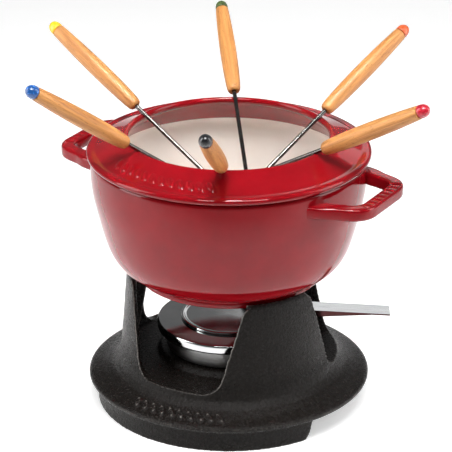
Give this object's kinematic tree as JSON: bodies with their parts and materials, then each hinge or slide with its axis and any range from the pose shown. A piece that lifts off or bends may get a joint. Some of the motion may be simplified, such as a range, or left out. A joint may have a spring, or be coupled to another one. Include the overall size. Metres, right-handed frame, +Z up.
{
  "type": "fondue pot set",
  "caption": "Enamelled pot with loop handles on a windowed cast stand over a spirit burner, with a splash ring and long forks resting in its notches.",
  "frame": {"origin": "on the axis of the pot and stand, at table height", "axes": "+Z up, +X along the burner lever, -Y towards the front of the set"},
  "size_m": [0.2754, 0.3254, 0.2726],
  "materials": {
    "cast_iron": "matt black enamel with a fine cast grain",
    "red_enamel": "deep gloss cherry enamel",
    "chrome": "polished",
    "brushed_steel": "brushed",
    "fork_steel": "polished dark steel",
    "gauze": "woven wire",
    "wadding": "pale fibre pad",
    "beech": "oiled beech with fine grain",
    "cap_blue": "gloss lacquer",
    "cap_yellow": "gloss lacquer",
    "cap_green": "gloss lacquer",
    "cap_orange": "gloss lacquer",
    "cap_red": "gloss lacquer",
    "cap_black": "gloss lacquer"
  },
  "bodies": {
    "stand": {"stand_casting": "cast_iron"},
    "pot": {"pot_body": "red_enamel", "pot_handle_right": "red_enamel", "pot_handle_left": "red_enamel"},
    "splash_ring": {"splash_ring": "red_enamel"},
    "burner": {"burner_pan": "brushed_steel", "burner_cover": "chrome", "fuel_cup": "brushed_steel", "fuel_wadding": "wadding", "burner_gauze": "gauze", "gauze_ring": "brushed_steel"},
    "regulator": {"regulator_disc": "chrome", "regulator_lever": "chrome", "lever_rivet_1": "chrome", "lever_rivet_2": "chrome"},
    "fork_blue": {"fork_blue_shaft": "fork_steel", "fork_blue_handle": "beech", "fork_blue_cap": "cap_blue"},
    "fork_yellow": {"fork_yellow_shaft": "fork_steel", "fork_yellow_handle": "beech", "fork_yellow_cap": "cap_yellow"},
    "fork_green": {"fork_green_shaft": "fork_steel", "fork_green_handle": "beech", "fork_green_cap": "cap_green"},
    "fork_orange": {"fork_orange_shaft": "fork_steel", "fork_orange_handle": "beech", "fork_orange_cap": "cap_orange"},
    "fork_red": {"fork_red_shaft": "fork_steel", "fork_red_handle": "beech", "fork_red_cap": "cap_red"},
    "fork_black": {"fork_black_shaft": "fork_steel", "fork_black_handle": "beech", "fork_black_cap": "cap_black"}
  },
  "joints": [
    {"name": "pot_lift", "type": "slide", "parent": "stand", "child": "pot", "axis": [0, 0, 1], "range_m": [0, 0.12]},
    {"name": "ring_lift", "type": "slide", "parent": "pot", "child": "splash_ring", "axis": [0, 0, 1], "range_m": [0, 0.12]},
    {"name": "burner_lift", "type": "slide", "parent": "stand", "child": "burner", "axis": [0, 0, 1], "range_m": [0, 0.024]},
    {"name": "regulator_turn", "type": "hinge", "parent": "burner", "child": "regulator", "pos_m": [0, 0, 0.064], "axis": [0, 0, 1], "range_deg": [-20, 20]},
    {"name": "fork_blue_slide", "type": "slide", "parent": "splash_ring", "child": "fork_blue", "axis": [-0.6811, -0.4423, 0.5835], "range_m": [0, 0.12]},
    {"name": "fork_yellow_slide", "type": "slide", "parent": "splash_ring", "child": "fork_yellow", "axis": [-0.6762, 0.5614, 0.4772], "range_m": [0, 0.12]},
    {"name": "fork_green_slide", "type": "slide", "parent": "splash_ring", "child": "fork_green", "axis": [-0.1062, 0.8909, 0.4415], "range_m": [0, 0.12]},
    {"name": "fork_orange_slide", "type": "slide", "parent": "splash_ring", "child": "fork_orange", "axis": [0.6502, 0.5937, 0.4741], "range_m": [0, 0.12]},
    {"name": "fork_red_slide", "type": "slide", "parent": "splash_ring", "child": "fork_red", "axis": [0.715, -0.4932, 0.4955], "range_m": [0, 0.12]},
    {"name": "fork_black_slide", "type": "slide", "parent": "splash_ring", "child": "fork_black", "axis": [-0.1148, -0.8384, 0.5329], "range_m": [0, 0.12]}
  ]
}
